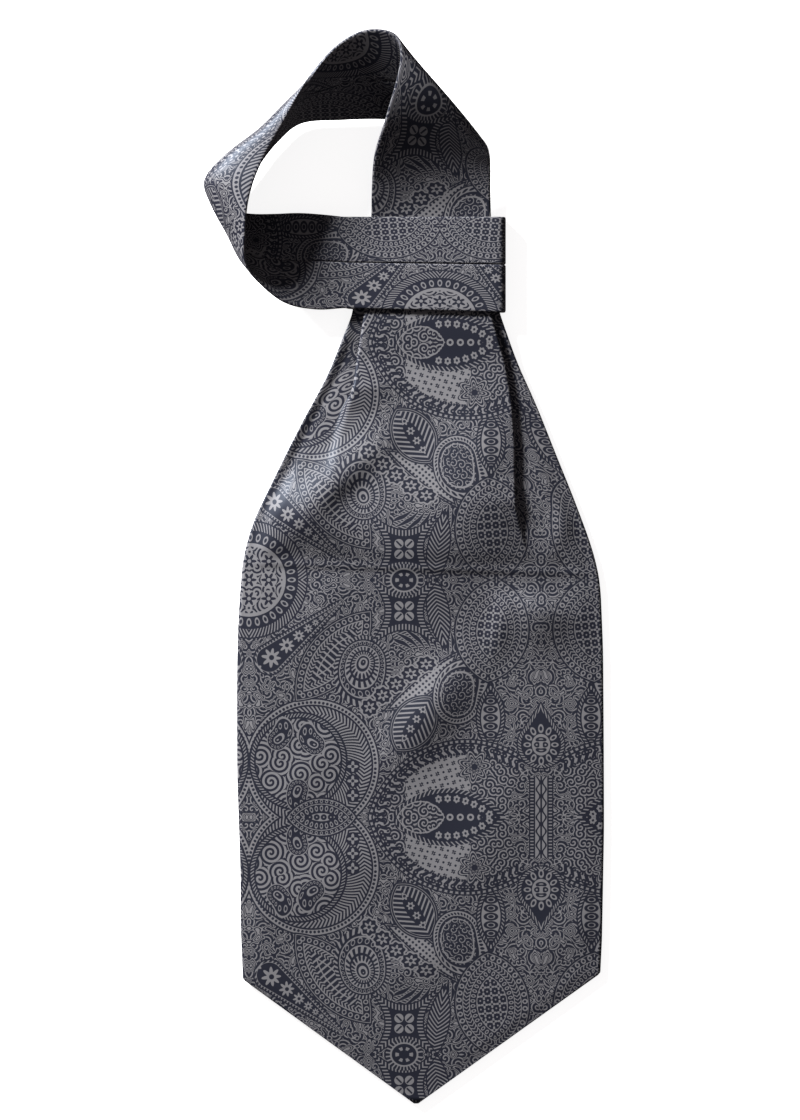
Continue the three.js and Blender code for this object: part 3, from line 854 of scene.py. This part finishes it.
def drop_plume(ink, u, v):
    """A fan of long dark drops."""
    x, y = placed(u, v, (50, 55), 90)
    ring = hypot(x, y)
    turn = angle_of(x, y) * 21
    along = ring - 22
    q = every(calc("MULTIPLY_ADD", along, 0.75, turn), 3.2) + size_of(along) * 0.2
    fill = over(below(every(ring, 1.1), FINE), below(q, 1.5), 0)
    fill = more(fill, below(q, 1.05))
    return over(ink, near(along, 0.5, 5) * near(turn, 0.5, 12), fill)


def strokes_leaf(ink, u, v):
    """Leafy strokes that climb beside the squares."""
    depth, s = leaf(*placed(u, v, (44, 88), 80), 17, 5)
    fill = ruled(hatch(depth, s, -1.1, 2.12, 0.55), depth, 1, FINE, 0.2)
    return over(ink, sharp(depth), fill)


def ringed_leaf(ink, u, v):
    """A great leaf of rings of beads and chevrons with florets inside."""
    x, y = placed(u, v, (21, 80), 95)
    depth, s = leaf(x, y, 22.5, 16)
    fill = beads(depth, s, 1.9, 3.3, 1.25, 0.4)
    fill = over(fill, sharp(depth - 3.5), chevrons(depth, s, 4.9, 1.0, 2, 0.62))
    fill = over(fill, sharp(depth - 6.3), beads(depth, s, 7.8, 3.2, 1.15, 0.4))
    bed = 1 - blooms(every(x, 3.7), every(y, 3.3), 4, 1.75, 0.4, 0.3)
    bed = less(bed, below(hypot(every(x + 1.85, 3.7), every(y + 1.65, 3.3)), 0.45))
    fill = over(fill, sharp(depth - 9.5), bed)
    fill = ruled(fill, depth, 0, FINE, 0.5, 3.5, 6.3, 9.5)
    ink = over(ink, sharp(depth), fill)
    return ruled(ink, depth, 1, LINE, 0.05)


def mandorla(ink, u, v):
    """A great rounded eye with a sprigged border, on the lower mirror line."""
    depth, s = disc(*placed(u, v, (32, -10)), 43.5)
    shown = sharp(depth) * sharp(hypot(u + 25, v) - 39)
    sprig = size_of(depth - 3.6)
    heart = hypot(depth - 3.6, every(s, 3.1) * 0.9)
    fill = hatch(sprig, s, -0.8, 3.88, 0.5) * sharp(sprig - LINE)
    fill = less(more(fill, below(heart, 1)), below(heart, 0.35))
    fill = over(fill, below(depth, 1.9), dots(depth, s, 1.1, 2.42, 0.55))
    fill = ruled(fill, depth, 1, LINE, 0.2, 1.9)
    x, y = placed(u, v, (0, 0), 27)
    spots = blooms(every(x, 4), every(y, 3.6), 5, 1, 0.3)
    spots = more(spots, below(hypot(every(x + 2, 4), every(y + 1.8, 3.6)), 0.42))
    spots = over(curls(u, v, 4.6, 1.56, 0.5), sharp(u - 30) * below(u, 58), spots)
    fill = over(fill, sharp(depth - 6.4), spots)
    fill = more(fill, near(depth, 6.4, 0.5) * hatch(depth, s, 0, 1.38, 0.6))
    return over(ink, shown, fill)


def mandorla_heart(ink, u, v):
    """The dark pointed leaf in the middle of the great eye, ringed with blooms."""
    x, y = placed(u, v, (40, 0), 180)
    depth, s = leaf(x, y, 25, 12.3)
    fill = hatch(depth, s, 0.9, 2.12, 0.6)
    fill = over(fill, sharp(depth - 1.9), 1)
    ring = 1 - blooms(depth - 4.3, every(s, 4.5), 6, 1.85, 0.5, 0.12)
    fill = over(fill, near(depth, 4.3, 2.2) * sharp(x + 6), ring)
    disc_bed = 1 - near(hypot(every(x - 1, 4.4), y), 1.1, 0.5)
    fill = over(fill, sharp(depth - 7) * sharp(x + 1), disc_bed)
    core, _ = leaf(x + 11.5, y, 10.5, 7.2)
    fill = over(fill, sharp(core), ruled(curls(u, v, 3.91, 1.62, 0.5), core, 0, LINE, 0.5))
    return over(ink, sharp(depth), fill)


def palmette(ink, u, v):
    """A flower of nested outlines over the eye's light field."""
    outline, r = flower(*placed(u, v, (28.5, 21.5), 20), 7, 7.6, 0.17)
    fill = below(every(outline, 1.7), 0.42)
    fill = more(fill, below(r, 1.3))
    return over(ink, sharp(outline), fill)


def shield(ink, u, v):
    """A pointed shield with a ring of petals round an oval."""
    x, y = placed(u, v, (0, 31), 90)
    peak = calc("MULTIPLY_ADD", size_of(y), -0.83, 10.2 - x * 0.55)
    depth = calc("MAXIMUM", 10.4 - hypot(x, y), calc("MINIMUM", peak, x - 5.5))
    fill = hatch(depth, angle_of(x, y) * 11, 0.9, 1.56, 0.45)
    fill = over(fill, sharp(depth - 1.9), 1)
    ring = hypot(x * 0.85, y)
    petal = calc("PINGPONG", angle_of(x, y), math.pi / 12) * ring
    q = hypot(petal * 0.95, (ring - 5.9) * 0.6)
    fill = over(fill, below(q, 1.05), sharp(0.42 - q))
    fill = over(fill, below(ring, 4), near(hypot(ring - 1.9, every(x, 2.6)), 0.8, LINE))
    fill = ruled(fill, depth, 1, LINE, 0.1)
    return over(ink, sharp(depth), fill)


def bead_column(ink, u, v):
    """Nested ovals between hatched rails on the mirror line."""
    wave = calc("MULTIPLY_ADD", calc("COSINE", v * 1.05), 0.75, 1.3)
    fill = near(u, wave, LINE)
    fill = more(fill, below(u, 0.3))
    fill = more(fill, near(u, 3.9, 0.95) * hatch(v, v, 0, 1.38))
    fill = ruled(fill, u, 1, FINE, 2.9, 5.0)
    return over(ink, below(u, 5.2) * below(v, 17.5), fill)


def garland(ink, u, v):
    """A row of dark blooms."""
    x, y = placed(u, v, (73.6, 47), 136)
    bow = calc("MULTIPLY_ADD", x * x, -0.004, y)
    cell = every(x, 7.6)
    outline, _ = flower(cell, bow, 8, 3.7, 0.09)
    fill = 1 - blooms(cell, bow, 6, 2.6, 0.7, 0.28)
    ink = over(ink, sharp(outline + 0.9) * near(x, 15.2, 19.6), 0)
    return over(ink, sharp(outline) * near(x, 15.2, 19), fill)


def rosettes(ink, u, v):
    """A row of small dark rounds with light crosses in the crescent."""
    x, y = placed(u, v, (80.6, 15.5))
    row = every(y, 6.2)
    shown = below(hypot(x, row), 2.9) * near(y, 0, 9.2)
    return over(ink, shown, 1 - blooms(x, row, 4, 2.4, 0.6))


def little_leaf(ink, u, v):
    """A leaf of petals across the mirror line."""
    depth, s = leaf(*placed(u, v, (94, 0)), 15, 8.2)
    fill = beads(depth, s, 1.4, 2.4, 0.8)
    fill = over(fill, sharp(depth - 2.6), 1)
    fill = over(fill, near(depth, 4.4, 1.5), petals(depth, s, 4.4, 2.9, 1, 1.35))
    fill = over(fill, sharp(depth - 6.4), near(hypot(every(u, 3), v), 0.8, 0.4))
    fill = ruled(fill, depth, 0, FINE, 0.5, 2.6)
    ink = over(ink, sharp(depth), fill)
    return ruled(ink, depth, 1, LINE, 0)


def square(ink, u, v):
    """A square with a flower of four petals, in a hatched frame with hollow sides."""
    x, y = placed(u, v, (58.6, 88.2))
    across, up = size_of(x), size_of(y)
    big, small = calc("MAXIMUM", across, up), calc("MINIMUM", across, up)
    hollow = calc("MULTIPLY_ADD", small * small, -0.035, big)
    fill = over(hatch(big, small, 0, 1.44), below(hollow, 5.4), 1)
    petal = hypot(across - 2.25, up - 2.25)
    open_part = more(size_of(across - up) * 0.8, petal - 1.2)
    fill = over(fill, below(petal, 2.05) * sharp(open_part - 0.35), 0)
    fill = more(fill, below(hypot(x, y), 0.7))
    fill = ruled(fill, hollow, 1, LINE, 8.3)
    return over(ink, below(hollow, 8.5) * below(small, 13.3), fill)


def roundel(ink, u, v):
    """A dark round with rays in a light hatched ring, between two squares."""
    x, y = placed(u, v, (58.6, 101.5))
    r = hypot(x * 0.86, y)
    s = angle_of(x, y) * 5
    fill = over(hatch(r, s, 0, 1.19), below(r, 5.3), 0)
    fill = more(fill, below(r, 4.5))
    fill = less(fill, near(r, 2.6, 0.75) * sharp(calc("COSINE", s * 1.2)))
    return over(ink, below(r, 6.9), fill)


MOTIFS = (
    fine_ground, crescent, curled_drops, medallion, nested_leaf, daisy_drop, spiral_drop,
    dotted_plume, frond, curled_swirl, eyed_leaf, drop_plume, strokes_leaf, ringed_leaf,
    mandorla, mandorla_heart, palmette, shield, bead_column, garland, rosettes, little_leaf,
    square, roundel,
)


def print_ink(x, y):
    """How much dark ink is at a place on the cloth."""
    u = calc("PINGPONG", MIRROR_X - x, HALF_WIDE)
    v = calc("PINGPONG", y - MIRROR_Y, HALF_HIGH)
    ink = 0
    for motif in MOTIFS:
        ink = motif(ink, u, v)
    return calc("MULTIPLY_ADD", ink, BOLD, BARE, clamp=True)


# Silk: its two tones and its faint blue gloss

GROUND_COLOUR = (0.138, 0.135, 0.143, 1)
INK_COLOUR = (0.011, 0.0115, 0.0185, 1)
SILK_LOOK = {
    "Roughness": 0.5,
    "Specular IOR Level": 0.22,
    "Specular Tint": (0.72, 0.83, 1, 1),
    "Sheen Weight": 0.02,
    "Sheen Roughness": 0.35,
    "Sheen Tint": (0.72, 0.78, 1, 1),
}

# The sockets of a node that mixes two colours
MIX_SHARE = 0
MIX_FROM = 6
MIX_TO = 7
MIX_RESULT = 2


def set_look(shader, look):
    """Sets sockets of a shader by their names."""
    for name, value in look.items():
        shader.inputs[name].default_value = value


cloth_place = silk_nodes.new("ShaderNodeAttribute")
cloth_place.attribute_name = "print_mm"
split_place = silk_nodes.new("ShaderNodeSeparateXYZ")
silk_links.new(cloth_place.outputs["Vector"], split_place.inputs["Vector"])
silk_ink = print_ink(Number(split_place.outputs["X"]), Number(split_place.outputs["Y"]))

tones = silk_nodes.new("ShaderNodeMix")
tones.data_type = "RGBA"
silk_links.new(silk_ink.socket, tones.inputs[MIX_SHARE])
tones.inputs[MIX_FROM].default_value = GROUND_COLOUR
tones.inputs[MIX_TO].default_value = INK_COLOUR

silk_shader = silk_nodes["Principled BSDF"]
silk_links.new(tones.outputs[MIX_RESULT], silk_shader.inputs["Base Color"])
set_look(silk_shader, SILK_LOOK)

for piece in (blade_front, blade_back, neck_band):
    piece.data.materials.append(silk)
    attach(piece, "root")
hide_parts("blade_front")
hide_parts("blade_back")
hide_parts("band_rise", "band_top", "band_side", "band_cross", "keeper_front", "keeper_back")

# Table, light and camera, in metres, watts and shares of full brightness

TABLE_REACH = 1.5
TABLE_DROP = 0.0002
TABLE_LOOK = {
    "Base Color": (0.93, 0.93, 0.93, 1),
    "Roughness": 0.9,
    "Emission Color": (1, 1, 1, 1),
    "Emission Strength": 0.86,
}
ROOM_LOOK = {"Color": (1, 0.9, 0.9, 1), "Strength": 0.14}
LAMP_PLACE = Vector((-0.98, 1.04, 0.58))
LAMP_TARGET = Vector((0, 0.06, 0))
LAMP_SIZE = 0.3
LAMP_POWER = 104
CAMERA_HEIGHT = 2.4


def make_table():
    """The pale table top, which casts no light back on the cloth."""
    mesh = bpy.data.meshes.new("table_top")
    corners = [(TABLE_REACH * x, TABLE_REACH * y, 0) for x, y in ((-1, -1), (1, -1), (1, 1), (-1, 1))]
    mesh.from_pydata(corners, [], [(0, 1, 2, 3)])
    top = bpy.data.objects.new("table_top", mesh)
    bpy.context.scene.collection.objects.link(top)
    top.location.z = -TABLE_DROP
    top.visible_diffuse = False
    top.visible_glossy = False
    pale = bpy.data.materials.new("pale_table")
    pale.use_nodes = True
    set_look(pale.node_tree.nodes["Principled BSDF"], TABLE_LOOK)
    mesh.materials.append(pale)
    return top


def make_room():
    """An even, faint light from all round."""
    room = bpy.data.worlds.new("studio")
    room.use_nodes = True
    set_look(room.node_tree.nodes["Background"], ROOM_LOOK)
    bpy.context.scene.world = room


def make_lamp():
    """One soft lamp, low at the upper left."""
    data = bpy.data.lights.new("key", "AREA")
    data.shape = "SQUARE"
    data.size = LAMP_SIZE
    data.energy = LAMP_POWER
    lamp = bpy.data.objects.new("key", data)
    lamp.location = LAMP_PLACE
    lamp.rotation_euler = (LAMP_TARGET - LAMP_PLACE).to_track_quat("-Z", "Y").to_euler()
    bpy.context.scene.collection.objects.link(lamp)


def make_camera():
    """A camera that looks straight down on the photograph's frame."""
    middle_x = (FRAME_PX[0] / 2 - POINT_PX[0]) * MM_PER_PX + TO_FRAME[0]
    middle_y = (POINT_PX[1] - FRAME_PX[1] / 2) * MM_PER_PX + TO_FRAME[1]
    half_high = FRAME_PX[1] / 2 * MM_PER_PX * MM
    data = bpy.data.cameras.new("camera")
    data.sensor_fit = "VERTICAL"
    data.angle = 2 * math.atan(half_high / CAMERA_HEIGHT)
    camera = bpy.data.objects.new("camera", data)
    camera.location = (middle_x * MM, middle_y * MM, CAMERA_HEIGHT)
    bpy.context.scene.collection.objects.link(camera)
    return camera


make_table()
make_room()
make_lamp()
bpy.context.scene.camera = make_camera()
bpy.context.scene.view_settings.view_transform = "Standard"
